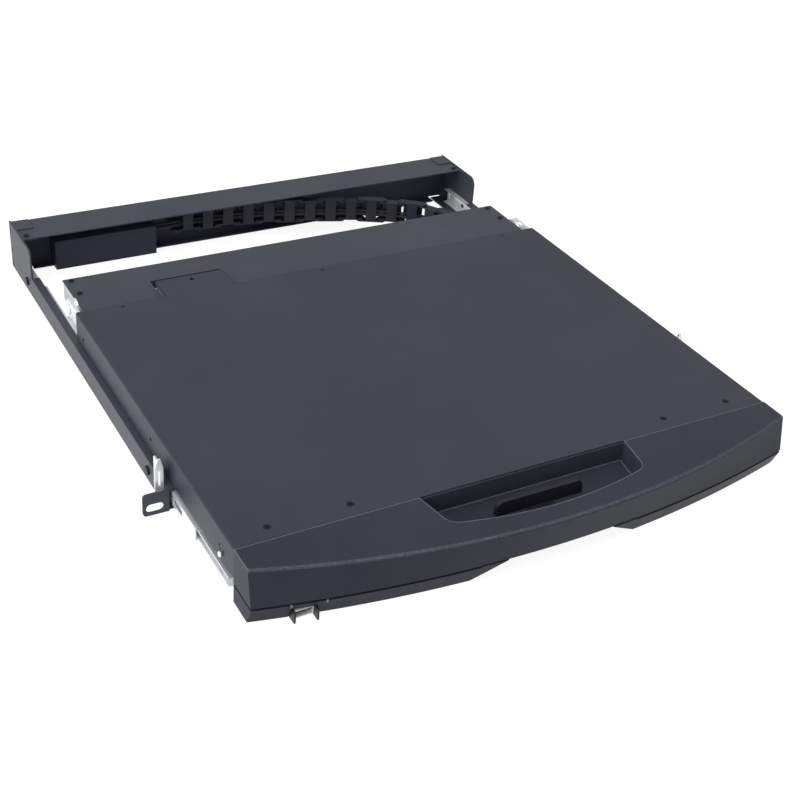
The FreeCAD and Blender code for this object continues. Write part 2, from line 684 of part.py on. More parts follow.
def side_cut(grow):
    """Everything beyond the slanted inner end of the right trim."""
    lean = (trim_inner_low - trim_inner_high) / trim_height
    low_x = trim_inner_low + 20 * lean + grow
    high_x = trim_inner_high - 6 * lean + grow
    points = [(-300, -20), (low_x, -20), (high_x, trim_height + 6), (-300, trim_height + 6)]
    return prism([(x, lid_front - 95, z) for x, z in points], (0, 150, 0))


def trim():
    body = trim_form(0, trim_height, 0, 0)
    raised = trim_form(trim_height - 1, trim_height + trim_rise, 0, 0)
    raised = raised.common(box((0, trim_rise_end), (lid_front - 95, lid_front), (0, 30)))
    solid = join([body, raised]).cut(side_cut(0))
    hollow = trim_form(2.0, trim_height - 2.0, bezel_wall, 1.0).cut(side_cut(2.4))
    places = [(x, z) for x, z in trim_screws() if x > 0]
    bosses = [bar(12, 3.0, (x, lid_front - 65.3, z), Y_AXIS, 65.3) for x, z in places]
    shell = join([solid.cut(hollow)] + bosses).common(solid)
    bores = [bar(12, trim_screw_r + screw_gap, (x, lid_front - 13.3, z), Y_AXIS, 20) for x, z in places]
    return less(shell, bores)


def trim_left():
    opening = box(usb_cut, (lid_front - 95, lid_front - 1), (-1, 9.5))
    lights = [box(around(x, light_half + fit_gap), (lid_front - 95, lid_front - 13.3),
                  (trim_height - 2.6, trim_height + 1)) for x in light_xs]
    return less(mirrored(trim()), [opening] + lights)


def usb_socket():
    shell = box(around(usb_x, usb_half_width), (usb_front, usb_rear), around(usb_z, usb_half_height))
    wall = 0.4
    mouth = box(around(usb_x, usb_half_width - wall), (usb_front - 1, usb_rear - 2),
                around(usb_z, usb_half_height - wall))
    return less(shell, [mouth])


def usb_tongue():
    return box(around(usb_x, 5.6), (usb_front + 1, usb_rear - 2 - seat_gap), (usb_z + 0.2, usb_z + 2.2))


def usb_guard():
    """Black moulding around the socket, with a post each side of it."""
    low = fit_gap
    post_in = usb_half_width + fit_gap
    across = (usb_cut[0] + fit_gap, usb_cut[1] - fit_gap)
    back = box(across, (usb_rear + seat_gap, lid_front - 1.2), (low, 9.2))
    left = box((across[0], usb_x - post_in), (usb_front - 2.3, usb_rear + 1), (low, 9.2))
    right = box((usb_x + post_in, across[1]), (usb_front - 5.1, usb_rear + 1), (low, 9.2))
    return join([back, left, right])


def status_lights():
    lights = []
    bulge = bezel_nose - bezel_corner
    for x in light_xs:
        front = lid_front - bezel_corner - bulge * (1 - (x / lid_half) ** 2) + 0.2
        lights.append(box(around(x, light_half), (front, front + 9), (trim_height - 2.3, trim_height)))
    return group(lights)


# ---- Keyboard, touchpad and control board ----
base_top = key_skirt - key_travel - 0.4
nav_left = keys_left + 15 * key_pitch + block_gap
pad_left = nav_left + key_pitch + block_gap
plate_side = tray_half - sheet - fit_gap


def key_cap(x, y, width, depth=key_pitch):
    """A tapered key cap whose bottom-left corner cell is at x, y."""
    low = key_gap / 2
    high = low + key_slope
    cap = Part.makeWedge(low, key_skirt, low - depth, high - depth, high,
                         width - low, key_top, -low, -high, width - high)
    cap.rotate(Vector(0, 0, 0), X_AXIS, 90)
    cap.translate(Vector(x, y, 0))
    return cap


def key_row(x, row, widths):
    keys = []
    y = keys_front + row * key_pitch
    for units in widths:
        if units > 0:
            keys.append(key_cap(x, y, units * key_pitch))
        x += abs(units) * key_pitch
    return keys


def main_rows():
    """Rows of the main block: key widths in pitches, a negative one left free."""
    return {
        "bottom_keys": (0, (1.25, 1.25, 1.25, -6.25, 1.25, 1.25, 1.25, 1.25)),
        "lower_keys": (1, (2.25,) + (1,) * 10 + (2.75,)),
        "home_keys": (2, (1.75,) + (1,) * 11 + (2.25,)),
        "upper_keys": (3, (1.5,) + (1,) * 12 + (1.5,)),
        "number_keys": (4, (1,) * 13 + (2,)),
        "function_keys": (5, (1,) * 15),
    }


def space_bar():
    return key_cap(keys_left + 3.75 * key_pitch, keys_front, 6.25 * key_pitch)


def navigation_keys():
    return [key_cap(nav_left, keys_front + row * key_pitch, key_pitch) for row in range(6)]


def number_pad():
    keys = key_row(pad_left, 0, (2, 1))
    for row in (1, 2, 3):
        keys += key_row(pad_left, row, (1, 1, 1))
    for row in (4, 5):
        keys += key_row(pad_left, row, (1, 1, 1, 1))
    for row in (0, 2):
        keys.append(key_cap(pad_left + 3 * key_pitch, keys_front + row * key_pitch, key_pitch, 2 * key_pitch))
    return keys


def keyboard_plate():
    span = (tray_front + sheet + fit_gap, bay_wall_y - fit_gap)
    plate = box((-plate_side, plate_side), span, (plate_low, deck_plate_top))
    cuts = []
    for left, units in ((keys_left, 15), (nav_left, 1), (pad_left, 4)):
        cuts.append(box((left, left + units * key_pitch), (keys_front, keys_rear), (0, unit_height)))
    cuts.append(box(around(0, touch_half + fit_gap), (button_front - fit_gap, touch_rear + fit_gap), (0, unit_height)))
    for y in (bay_wall_y - 67.5, bay_wall_y - 41.5):
        for i in range(12):
            cuts.append(box(around(-121 + i * 22, 8.0), around(y, 1.5), (0, unit_height)))
    return less(plate, cuts)


def keyboard_base():
    """Steel plate under the keys and the touchpad."""
    half = plate_side - 2
    plate = box((-half, half), (tray_front + sheet + 4, keys_rear + 4), (base_top - sheet, base_top))
    places = [(x, y) for x in (29.0 - tray_half, -60, 60, tray_half - 29.0) for y in (lid_front + 14.7, keys_rear - 18)]
    feet = [bar(8, 3.0, (x, y, sheet + seat_gap), Z_AXIS, base_top - 2 * sheet - seat_gap) for x, y in places]
    return join([plate] + feet)


def touchpad():
    pad = box((-touch_half, touch_half), (touch_front, touch_rear), (plate_low, deck_plate_top + 0.4))
    stand = box(around(0, touch_half - 6), (touch_front + 5, touch_rear - 5), (base_top + seat_gap, plate_low))
    return join([pad, stand])


def touch_button(left, right):
    body = box((left, right), (button_front, touch_front - fit_gap), (base_top + button_travel + 0.5, deck_plate_top + 0.8))
    return body.makeFillet(0.5, edges_where(body, lambda b: b.ZMin > deck_plate_top))


def control_board():
    top = 5.7
    middle = (board_front + board_rear + 1) / 2
    board = box(around(0, 116.0), (board_front, board_rear + 1), (4.0 + seat_gap, top))
    chips = [box((-60, -42), (middle - 8, middle + 10), (top, 7.4)), box((10, 24), (middle - 18, middle - 4), (top, 7.2))]
    sockets = [box(around(x, 7), (board_rear - 9, board_rear), (top, 10.5)) for x in cable_sockets + (40.0,)]
    holes = [bar(12, 1.6, (x, y, 3), Z_AXIS, 4) for x, y in board_posts]
    return less(join([board] + chips + sockets), holes)


# ---- Display in the lid ----
osd_y = display_high_y + 6.3
osd_xs = tuple(i * osd_pitch for i in range(-2, 3))
frame_top = display_low + 1.5
frame_half = lid_half - sheet - fit_gap
panel_low = frame_top + seat_gap
osd_board_low = frame_top + fit_gap + 2.6


def display_frame():
    plate = box((-frame_half, frame_half), (lid_front + 3.0, lid_rear - sheet - fit_gap), (display_low, frame_top))
    width = display_width / 2
    posts = []
    bores = []
    for x, y in (lid_rear_pins[0], lid_rear_pins[2]):
        posts.append(bar(8, 2.6, (x, y, display_low + 0.5), Z_AXIS, flange_top - display_low - 0.5))
        bores.append(bar(8, lid_pin_r + pin_gap, (x, y, flange_top - 3.5), Z_AXIS, 5))
    cuts = [
        box((-width, width), (display_low_y, display_high_y), (display_low - 1, frame_top + 1)),
        both(box((arm_in - 10, frame_half + 1), (lid_rear - 34.0, lid_rear + 14.0), (display_low - 1, frame_top + 1))),
    ]
    cuts += [bar(16, osd_r + fit_gap, (x, osd_y, display_low - 1), Z_AXIS, 4) for x in osd_xs]
    return less(join([plate] + posts), cuts + bores)


def osd_button(x):
    cap = bar(16, osd_r, (x, osd_y, display_low - 0.9), Z_AXIS, 4.2)
    rim = bar(16, osd_r + 0.9, (x, osd_y, frame_top + fit_gap), Z_AXIS, 1.0)
    return join([cap, rim])


def osd_board():
    """Board behind the display's buttons, with a post up to the lid's centre pin."""
    top = osd_board_low + 1.6
    x, y = lid_rear_pins[1]
    board = box(around(0, 46.0), (osd_y - 4.3, osd_y + 4.7), (osd_board_low, top))
    posts = [bar(8, 1.8, (side * 44.0, osd_y, panel_low), Z_AXIS, osd_board_low - panel_low) for side in (-1, 1)]
    posts.append(bar(8, 2.6, (x, y, osd_board_low), Z_AXIS, flange_top - osd_board_low))
    return less(join([board] + posts), [bar(8, lid_pin_r + pin_gap, (x, y, flange_top - 3.5), Z_AXIS, 5)])


def display_panel_body():
    half = display_width / 2 + 9
    return box((-half, half), (display_low_y - 9, osd_y - 5.2), (panel_low, panel_low + display_panel))


def display_mounts():
    """Channels that hold the display panel up against the lid's top."""
    low = panel_low + display_panel + seat_gap
    high = lid_top_low - seat_gap
    span = (display_low_y + 10.0, display_high_y - 17.0)
    rails = []
    for x in (40.0 - display_width / 2, display_width / 2 - 40.0):
        web = box(around(x, 0.6), span, (low, high))
        feet = [box(around(x, 9), span, (z, z + sheet)) for z in (low, high - sheet)]
        rails.append(join([web] + feet))
    return group(rails)


# ---- Cable chain ----
def chain_headings():
    """Heading of each link in degrees, from the rear wall to the drawer."""
    runs = ((1, 0.0), (4, 3.6), (4, 1.7), (3, 5.7), (3, 20.0), (2, 40.0), (1, 1.7), (5, 0.0))
    headings = []
    heading = 0.0
    for count, turn in runs:
        for _ in range(count):
            heading -= turn
            headings.append(heading)
    return headings


link_headings = chain_headings()
chain_depth = sum(math.sin(math.radians(-heading)) for heading in link_headings)
link_pitch = (chain_y - bay_wall_y - chain_standoff) / chain_depth


def chain_points():
    """Pivots of the chain from its fixed end."""
    x, y = chain_x, chain_y
    points = [(x, y)]
    for heading in link_headings:
        x += link_pitch * math.cos(math.radians(heading))
        y += link_pitch * math.sin(math.radians(heading))
        points.append((x, y))
    return points


def chain_end():
    return chain_points()[-1]


def link_plate_at(low, length):
    """Flat plate with chamfered ends along +X from the origin."""
    r = link_radius
    c = 0.42 * r
    half = [(-r, -c), (-c, -r), (length + c, -r), (length + r, -c)]
    outline = half + [(x, -y) for x, y in reversed(half)]
    return prism([(x, y, low) for x, y in outline], (0, 0, link_plate))


def link(outer):
    inset = 0.0 if outer else link_plate + fit_gap
    span = (link_low + inset, link_high - inset)
    plates = [link_plate_at(low, link_pitch) for low in (span[0], span[1] - link_plate)]
    middle = around(link_pitch / 2, 5)
    back = (fit_gap + 0.5, link_pitch - fit_gap - 0.5)
    clear = 2 * (link_plate + fit_gap)
    bars = [
        box(middle, (-link_radius, 1.2 - link_radius), span),
        box(middle, (link_radius - 1.2, link_radius), span),
        box(back, (link_radius - 1.2, link_radius), (link_low + clear, link_high - clear)),
    ]
    body = join(plates + bars)
    pins = []
    for x in (0, link_pitch):
        if outer:
            pins.append(bar(8, link_pin_r + screw_gap, (x, 0, link_low - 1), Z_AXIS, link_high - link_low + 2))
        else:
            for low in (link_low, link_high - link_plate - fit_gap - 0.5):
                pins.append(bar(8, link_pin_r, (x, 0, low), Z_AXIS, link_plate + fit_gap + 0.5))
    return less(body, pins) if outer else join([body] + pins)


def chain_links(outer):
    points = chain_points()
    pattern = link(outer)
    links = []
    for i, heading in enumerate(link_headings):
        if (i % 2 == 1) == outer:
            piece = pattern.copy()
            piece.rotate(Vector(0, 0, 0), Z_AXIS, heading)
            piece.translate(Vector(points[i][0], points[i][1], 0))
            links.append(piece)
    return group(links)


def chain_holder(x, y, wall, inward):
    """Bracket that holds an end link: two lugs on a plate against a wall at Y = wall."""
    lugs = []
    for low in (link_low, link_high - link_plate):
        lugs.append(bar(16, link_radius, (x, y, low), Z_AXIS, link_plate))
        lugs.append(box(around(x, link_radius * 0.98), sorted((y, wall)), (low, low + link_plate)))
    plate = box(around(x, 7), sorted((wall, wall + inward * 1.5)), (link_low - 1.5, link_high - 0.6))
    holes = bar(8, link_pin_r + screw_gap, (x, y, link_low - 1), Z_AXIS, link_high - link_low + 2)
    return less(join(lugs + [plate]), [holes])


def cable(radius, z, socket_x):
    """Cable from the port board, through the chain, down to a socket on the control board."""
    points = chain_points()
    x, y = points[-1]
    route = [Vector(port_box_right - 22.6, chain_y, z)]
    route += [Vector(px, py, z) for px, py in points]
    route += [Vector(x - 12, y - 0.5, z), Vector(socket_x + 6, y - 4, z - 5)]
    route += [Vector(socket_x, y - 14, cable_drop_z), Vector(socket_x, bay_wall_y, cable_drop_z)]
    route.append(Vector(socket_x, board_rear + seat_gap, cable_drop_z))
    spine = Part.makePolygon(route)
    turn = FreeCAD.Rotation(Z_AXIS, route[1] - route[0])
    ring = []
    for i in range(8):
        angle = math.radians(45 * i)
        ring.append(route[0] + turn.multVec(Vector(radius * math.cos(angle), radius * math.sin(angle), 0)))
    profile = Part.makePolygon(ring + ring[:1])
    return spine.makePipeShell([profile], True, False, 1)


# ---- Fasteners ----
def side_screw_set():
    screws = []
    for y, z in side_screws:
        shank = bar(12, side_screw_r, (outer_web[0] - 0.2, y, z), X_AXIS, rail_half - outer_web[0] + 0.3)
        head = bar(16, side_screw_head_r, (rail_half + seat_gap, y, z), X_AXIS, 1.5)
        screws.append(both(join([shank, head])))
    return group(screws)


def cross_recess(x, y, top, size):
    return [box(around(x, size), around(y, size / 4), (top - 0.5, top + 1)),
            box(around(x, size / 4), around(y, size), (top - 0.5, top + 1))]


def down_screws(places, top, radius, head_radius, head, depth):
    """Pan-head screws that point down, their heads standing on a surface at top."""
    screws = []
    for x, y in places:
        shank = bar(8, radius, (x, y, top - depth), Z_AXIS, depth + seat_gap)
        cap = bar(16, head_radius, (x, y, top + seat_gap), Z_AXIS, head)
        screws.append(less(join([shank, cap]), cross_recess(x, y, top + seat_gap + head, head_radius * 0.6)))
    return group(screws)


def sunk_screws():
    """Countersunk screws, flush with the lid's top."""
    screws = []
    low = unit_height - lid_screw_head
    for x, y in lid_front_screws:
        shank = bar(8, lid_screw_r, (x, y, low - 2.4), Z_AXIS, 2.5)
        head = Part.makeCone(lid_screw_r, lid_screw_head_r, lid_screw_head, Vector(x, y, low))
        screws.append(less(join([shank, head]), cross_recess(x, y, unit_height, 1.5)))
    return group(screws)


def lid_pins():
    return group([bar(8, lid_pin_r, (x, y, flange_top - 3.0), Z_AXIS, unit_height - flange_top + 3.0)
                  for x, y in lid_rear_pins])


def trim_screw_set():
    rear = tray_front + sheet
    screws = []
    for x, z in trim_screws():
        shank = bar(8, trim_screw_r, (x, rear - 12, z), Y_AXIS, 12 + seat_gap)
        screws.append(join([shank, bar(16, 2.8, (x, rear + seat_gap, z), Y_AXIS, 1.4)]))
    return group(screws)


# ---- The parts ----
def build():
    end_x, end_y = chain_end()
    cover_screw_set = down_screws(cover_screws, cover_top, cover_screw_r, cover_screw_head_r, 0.8, 3.0)
    deck_screw_set = down_screws(hinge_screws, deck_top, deck_screw_r, deck_screw_head_r, 0.7, 3.2)
    parts = {
        "rail_right": rail(),
        "rail_left": mirrored(rail()),
        "rack_clamps": both(rack_clamp()),
        "rear_wall": rear_wall(),
        "rear_cover": rear_cover(),
        "port_box": port_box(),
        "port_board": port_board(),
        "vga_port": vga_port(),
        "usb_b_port": usb_b_port(),
        "power_port": power_port(),
        "chain_anchor": chain_holder(chain_x, chain_y, port_rear, -1),
        "chain_outer_links": chain_links(True),
        "chain_inner_links": chain_links(False),
        "console_cables": group([
            cable(2.0, link_low + 6.8, cable_sockets[1]),
            cable(1.2, link_low + 10.2, cable_sockets[0]),
        ]),
        "chain_bracket": chain_holder(end_x, end_y, bay_wall_y + sheet + seat_gap, 1),
        "slide_outer_right": slide_outer(),
        "slide_outer_left": mirrored(slide_outer()),
        "slide_middle_right": slide_middle(),
        "slide_middle_left": mirrored(slide_middle()),
        "slide_inner_right": slide_inner(),
        "slide_inner_left": mirrored(slide_inner()),
        "frame_screws": group([side_screw_set(), cover_screw_set]),
        "keyboard_tray": keyboard_tray(),
        "rear_deck": rear_deck(),
        "drawer_screws": group([deck_screw_set, trim_screw_set()]),
        "hinge_bracket_right": hinge_bracket(),
        "hinge_bracket_left": mirrored(hinge_bracket()),
        "hinge_pins": both(hinge_pin()),
        "trim_right": trim(),
        "trim_left": trim_left(),
        "usb_guard": group([usb_guard(), usb_tongue()]),
        "usb_socket": usb_socket(),
        "status_lights": status_lights(),
        "keyboard_plate": keyboard_plate(),
        "keyboard_base": keyboard_base(),
        "space_bar": space_bar(),
        "navigation_keys": group(navigation_keys()),
        "number_pad": group(number_pad()),
        "touchpad": touchpad(),
        "touch_button_left": touch_button(-touch_half, -0.3),
        "touch_button_right": touch_button(0.3, touch_half),
        "control_board": control_board(),
        "lid_shell": lid_shell(),
        "front_bezel": front_bezel(),
        "latch_bar": latch_bar(),
        "hinge_arms": both(hinge_arm()),
        "lid_screws": group([sunk_screws(), lid_pins()]),
        "display_frame": display_frame(),
        "display_panel": display_panel_body(),
        "display_mounts": display_mounts(),
        "osd_board": osd_board(),
        "osd_buttons": group([osd_button(x) for x in osd_xs[:-1]]),
        "power_button": osd_button(osd_xs[-1]),
    }
    for name, (row, widths) in main_rows().items():
        parts[name] = group(key_row(keys_left, row, widths))
    return parts


os.makedirs("parts", exist_ok=True)
for part_name, part_shape in build().items():
    part_shape.translate(Vector(0, 0, -slot_z))
    part_shape.exportStep("parts/" + part_name + ".step")
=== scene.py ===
import json
import math
import bmesh
import bpy
from mathutils import Matrix, Vector


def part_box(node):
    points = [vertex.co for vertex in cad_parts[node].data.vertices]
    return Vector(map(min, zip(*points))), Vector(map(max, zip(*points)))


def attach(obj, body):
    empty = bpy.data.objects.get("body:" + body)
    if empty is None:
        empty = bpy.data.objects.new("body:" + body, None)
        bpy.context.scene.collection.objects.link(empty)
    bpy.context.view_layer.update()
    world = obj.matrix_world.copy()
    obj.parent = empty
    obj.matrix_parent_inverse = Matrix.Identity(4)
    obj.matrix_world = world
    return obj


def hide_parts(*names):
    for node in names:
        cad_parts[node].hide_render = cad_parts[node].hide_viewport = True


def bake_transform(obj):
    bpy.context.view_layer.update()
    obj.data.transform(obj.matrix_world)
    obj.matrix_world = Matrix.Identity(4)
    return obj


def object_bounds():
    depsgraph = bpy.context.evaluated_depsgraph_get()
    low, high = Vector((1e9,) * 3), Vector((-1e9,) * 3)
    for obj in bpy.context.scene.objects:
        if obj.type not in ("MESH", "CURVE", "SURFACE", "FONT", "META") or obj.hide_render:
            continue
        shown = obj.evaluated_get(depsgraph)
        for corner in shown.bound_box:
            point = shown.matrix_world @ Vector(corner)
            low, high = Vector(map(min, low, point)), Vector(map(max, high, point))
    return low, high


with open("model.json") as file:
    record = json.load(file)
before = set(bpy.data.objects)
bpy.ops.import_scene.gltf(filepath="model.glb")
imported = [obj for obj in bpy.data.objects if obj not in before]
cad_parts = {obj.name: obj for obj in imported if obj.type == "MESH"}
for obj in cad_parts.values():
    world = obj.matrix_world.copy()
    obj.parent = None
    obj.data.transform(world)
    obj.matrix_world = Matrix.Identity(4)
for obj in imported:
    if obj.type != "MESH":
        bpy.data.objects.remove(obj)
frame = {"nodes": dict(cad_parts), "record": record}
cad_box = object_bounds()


noise_range = (0.3, 0.7)        # where most of a noise node's values lie


# ---- Materials: every surface is worked out from noise in the object's own space ----
def new_material(name):
    material = bpy.data.materials.new(name)
    material.use_nodes = True
    return material, material.node_tree.nodes, material.node_tree.links


def surface_space(nodes, links, scale, stretch=(1.0, 1.0, 1.0)):
    """Object coordinates, in metres, scaled per axis."""
    place = nodes.new("ShaderNodeTexCoord")
    mapping = nodes.new("ShaderNodeMapping")
    mapping.inputs["Scale"].default_value = [scale * factor for factor in stretch]
    links.new(place.outputs["Object"], mapping.inputs["Vector"])
    return mapping.outputs["Vector"]


def noise(nodes, links, vector, detail=3.0):
    node = nodes.new("ShaderNodeTexNoise")
    node.inputs["Scale"].default_value = 1.0
    node.inputs["Detail"].default_value = detail
    node.inputs["Roughness"].default_value = 0.55
    links.new(vector, node.inputs["Vector"])
    return node.outputs["Fac"]


def remap(nodes, links, value, source, target=(0.0, 1.0), interpolation="LINEAR"):
    """Carries a value from the range source to the range target, and holds it at the ends."""
    node = nodes.new("ShaderNodeMapRange")
    node.interpolation_type = interpolation
    node.inputs["From Min"].default_value, node.inputs["From Max"].default_value = source
    node.inputs["To Min"].default_value, node.inputs["To Max"].default_value = target
    links.new(value, node.inputs["Value"])
    return node.outputs["Result"]


def combine(nodes, links, operation, first, second):
    """Maths on two values; the second may be a plain number."""
    node = nodes.new("ShaderNodeMath")
    node.operation = operation
    links.new(first, node.inputs[0])
    if isinstance(second, float):
        node.inputs[1].default_value = second
    else:
        links.new(second, node.inputs[1])
    return node.outputs["Value"]


def dot_with(nodes, links, vector, other):
    """Dot product of a vector with another, which may be a plain direction."""
    node = nodes.new("ShaderNodeVectorMath")
    node.operation = "DOT_PRODUCT"
    links.new(vector, node.inputs[0])
    if isinstance(other, tuple):
        node.inputs[1].default_value = other
    else:
        links.new(other, node.inputs[1])
    return node.outputs["Value"]


def tint(nodes, links, value, dark, light):
    ramp = nodes.new("ShaderNodeValToRGB")
    ramp.color_ramp.elements[0].position, ramp.color_ramp.elements[1].position = noise_range
    ramp.color_ramp.elements[0].color = (*dark, 1.0)
    ramp.color_ramp.elements[1].color = (*light, 1.0)
    links.new(value, ramp.inputs["Fac"])
    return ramp.outputs["Color"]


def rounded_normal(nodes, radius):
    """The surface normal as if the sharp edges were rounded."""
    bevel = nodes.new("ShaderNodeBevel")
    bevel.samples = 4
    bevel.inputs["Radius"].default_value = radius
    return bevel.outputs["Normal"]


edge_turn = (0.993, 0.955)      # rounded normal dot flat normal, from untouched face to the full painted edge tone
edge_upward = (0.15, 0.45)      # how far up the edge faces, from none of the painted edge tone to all of it


def painted_edge_light_and_shade(nodes, links, colour, edge_highlight_and_shade, radius):
    """Paints the given colour along sharp edges that face up: a painted highlight where it is lighter than
    the surface, painted shade where it is darker.
    """
    rounded = rounded_normal(nodes, radius)
    flat = nodes.new("ShaderNodeNewGeometry").outputs["True Normal"]
    mask = remap(nodes, links, dot_with(nodes, links, rounded, flat), edge_turn)
    own = nodes.new("ShaderNodeVectorTransform")
    own.vector_type = "NORMAL"
    own.convert_from = "WORLD"
    own.convert_to = "OBJECT"
    links.new(rounded, own.inputs["Vector"])
    parts = nodes.new("ShaderNodeSeparateXYZ")
    links.new(own.outputs["Vector"], parts.inputs["Vector"])
    # Painted highlight and painted shade: only edges that face up take the tone.
    upward = remap(nodes, links, parts.outputs["Z"], edge_upward)
    mix = nodes.new("ShaderNodeMix")
    mix.data_type = "RGBA"
    mix.inputs["B"].default_value = (*edge_highlight_and_shade, 1.0)
    links.new(combine(nodes, links, "MULTIPLY", mask, upward), mix.inputs["Factor"])
    links.new(colour, mix.inputs["A"])
    return mix.outputs["Result"]


def finish(name, colour, rough, grain, height, metal=0.0, vary=0.12, patch=14.0, edge=0.0004,
           stretch=(1.0, 1.0, 1.0), specular=0.5, coat=0.0, edge_highlight_and_shade=None, painted_edge_radius=0.0008):
    """A finish with slow colour drift, fine grain in bump and roughness, softened edges, and an optional
    painted edge tone along sharp edges that face up: lighter tones are painted highlights, darker ones
    painted shade.
    """
    material, nodes, links = new_material(name)
    shader = nodes["Principled BSDF"]
    shader.inputs["Metallic"].default_value = metal
    shader.inputs["Specular IOR Level"].default_value = specular
    shader.inputs["Coat Weight"].default_value = coat
    drift = noise(nodes, links, surface_space(nodes, links, patch), 4.0)
    dark = [channel * (1.0 - vary) for channel in colour]
    light = [min(channel * (1.0 + vary), 1.0) for channel in colour]
    base = tint(nodes, links, drift, dark, light)
    # Painted light: a lighter edge tone is a painted highlight, a darker one painted shade.
    if edge_highlight_and_shade:
        base = painted_edge_light_and_shade(nodes, links, base, edge_highlight_and_shade, painted_edge_radius)
    links.new(base, shader.inputs["Base Color"])
    fine = noise(nodes, links, surface_space(nodes, links, grain, stretch), 2.0)
    polish = remap(nodes, links, fine, noise_range, (rough - 0.06, rough + 0.06))
    links.new(polish, shader.inputs["Roughness"])
    bump = nodes.new("ShaderNodeBump")
    bump.inputs["Strength"].default_value = 0.6
    bump.inputs["Distance"].default_value = height
    links.new(fine, bump.inputs["Height"])
    links.new(rounded_normal(nodes, edge), bump.inputs["Normal"])
    links.new(bump.outputs["Normal"], shader.inputs["Normal"])
    return material


materials = {
    # The lid's dark edge tone is painted shade: a dark line along its upward-facing edges.
    "lid_paint": finish(
        "graphite_powder_coat", (0.0275, 0.030, 0.042), 0.50, 2400, 0.00005, specular=0.34,
        edge_highlight_and_shade=(0.004, 0.004, 0.006), painted_edge_radius=0.0014),
    "housing_paint": finish(
        "charcoal_powder_coat", (0.036, 0.039, 0.053), 0.46, 2400, 0.00005, specular=0.36),
    "zinc_steel": finish(
        "bright_zinc", (0.86, 0.87, 0.89), 0.36, 260, 0.00001, metal=0.65, vary=0.08, patch=90,
        stretch=(1.0, 0.15, 1.0)),
    "screw_steel": finish(
        "blackened_steel", (0.008, 0.008, 0.010), 0.45, 900, 0.00001, edge=0.0002, specular=0.2),
    # The bezel's light edge tone is a painted highlight along its upward-facing edges, such as the top-front
    # arris.
    "bezel_plastic": finish(
        "bezel_plastic", (0.032, 0.034, 0.045), 0.42, 1900, 0.00003, edge=0.0006, specular=0.09,
        edge_highlight_and_shade=(0.17, 0.175, 0.19), painted_edge_radius=0.0015),
    "latch_plastic": finish(
        "latch_plastic", (0.012, 0.012, 0.018), 0.44, 1900, 0.00003, edge=0.0005, specular=0.3),
    "chain_nylon": finish("chain_nylon", (0.014, 0.015, 0.023), 0.45, 1200, 0.00002, specular=0.25),
    "cable_jacket": finish("cable_jacket", (0.010, 0.010, 0.013), 0.55, 1500, 0.00002, specular=0.3),
    "board_laminate": finish("board_laminate", (0.012, 0.085, 0.035), 0.42, 700, 0.00002, vary=0.2),
    "port_metal": finish("nickel_plate", (0.88, 0.88, 0.88), 0.30, 600, 0.00001, metal=0.4, vary=0.05),
    "port_plastic": finish("port_plastic", (0.010, 0.010, 0.013), 0.4, 1500, 0.00002, specular=0.3),
    "light_lens": finish("light_lens", (0.16, 0.18, 0.19), 0.25, 900, 0.00001, vary=0.05),
    "key_plastic": finish(
        "key_plastic", (0.014, 0.014, 0.017), 0.5, 3000, 0.00003, edge=0.0006, specular=0.35),
    "pad_plastic": finish("pad_plastic", (0.020, 0.020, 0.024), 0.42, 3000, 0.00002, specular=0.35),
    "frame_plastic": finish("frame_plastic", (0.022, 0.023, 0.029), 0.45, 2200, 0.00003, specular=0.36),
    "screen": finish(
        "display_glass", (0.004, 0.004, 0.006), 0.16, 300, 0.000002, vary=0.05, coat=0.3),
    "button_plastic": finish("button_plastic", (0.04, 0.04, 0.046), 0.4, 1500, 0.00002, specular=0.36),
}
# Port box and rear wall: a paint like the housing's with half its shine, and a painted highlight along their
# upward-facing edges.
inner_paint = finish("inner_powder_coat", (0.036, 0.039, 0.055), 0.55, 2400, 0.00005, specular=0.18,
                     edge_highlight_and_shade=(0.06, 0.062, 0.075), painted_edge_radius=0.0006)
# The trims' dark edge tone is painted shade along their upward-facing edges, a dark seam line by the bezel.
trim_plastic = finish("trim_plastic", (0.032, 0.034, 0.046), 0.44, 1900, 0.00003, edge=0.0006, specular=0.07,
                      edge_highlight_and_shade=(0.005, 0.005, 0.008), painted_edge_radius=0.0012)

slots = {part["node"]: part["material_slot"] for part in frame["record"]["subparts"]}


def paint(node):
    """Gives a CAD node the finish of its slot."""
    mesh_object = frame["nodes"][node]
    mesh_object.data.materials.clear()
    mesh_object.data.materials.append(materials[slots[node]])


for node in frame["nodes"]:
    paint(node)
for node in ("port_box", "rear_wall"):
    frame["nodes"][node].data.materials[0] = inner_paint
for node in ("trim_left", "trim_right"):
    frame["nodes"][node].data.materials[0] = trim_plastic


# ---- Cable chain: copies of its links and cables take the place of the CAD parts ----
def flexing_copy(node, name):
    """A copy of a CAD node, with its transform baked in and its slot's finish, that takes the place of the
    hidden original.
    """
    source = frame["nodes"][node]
    mesh = source.data.copy()
    mesh.transform(source.matrix_world)
    piece = bpy.data.objects.new(name, mesh)
    bpy.context.scene.collection.objects.link(piece)
    mesh.materials.clear()
    mesh.materials.append(materials[slots[node]])
    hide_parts(node)
    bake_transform(piece)
    return piece


for node, name in (("chain_outer_links", "outer_links"), ("chain_inner_links", "inner_links"),
                   ("console_cables", "chain_cables")):
    flexing_copy(node, name)


